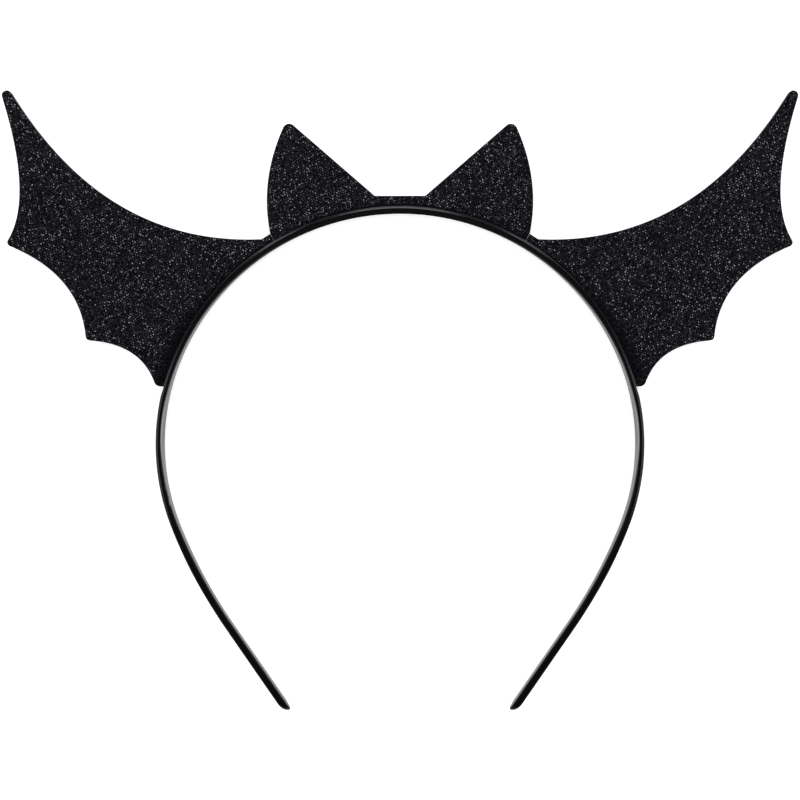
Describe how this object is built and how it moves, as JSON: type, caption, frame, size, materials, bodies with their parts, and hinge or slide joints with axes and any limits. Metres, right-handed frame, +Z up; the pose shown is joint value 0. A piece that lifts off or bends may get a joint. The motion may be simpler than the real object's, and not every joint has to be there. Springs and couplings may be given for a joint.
{
  "type": "bat headband",
  "caption": "Glossy plastic Alice band with flat glitter bat ears on a low bridge over the crown and a scalloped bat wing on each side.",
  "frame": {"origin": "on the surface that the headband lies on, below the middle of the whole", "axes": "+Y from the tips to the crown and the ears, +X across from the wing_left side to the wing_right side, +Z up through the band's depth"},
  "size_m": [0.2208, 0.1718, 0.008],
  "materials": {
    "black_plastic": "glossy moulded plastic",
    "black_glitter": "fine black glitter on a stiff sheet"
  },
  "bodies": {
    "root": {"headband": "black_plastic", "ears": "black_glitter", "wing_left": "black_glitter", "wing_right": "black_glitter"}
  },
  "joints": []
}
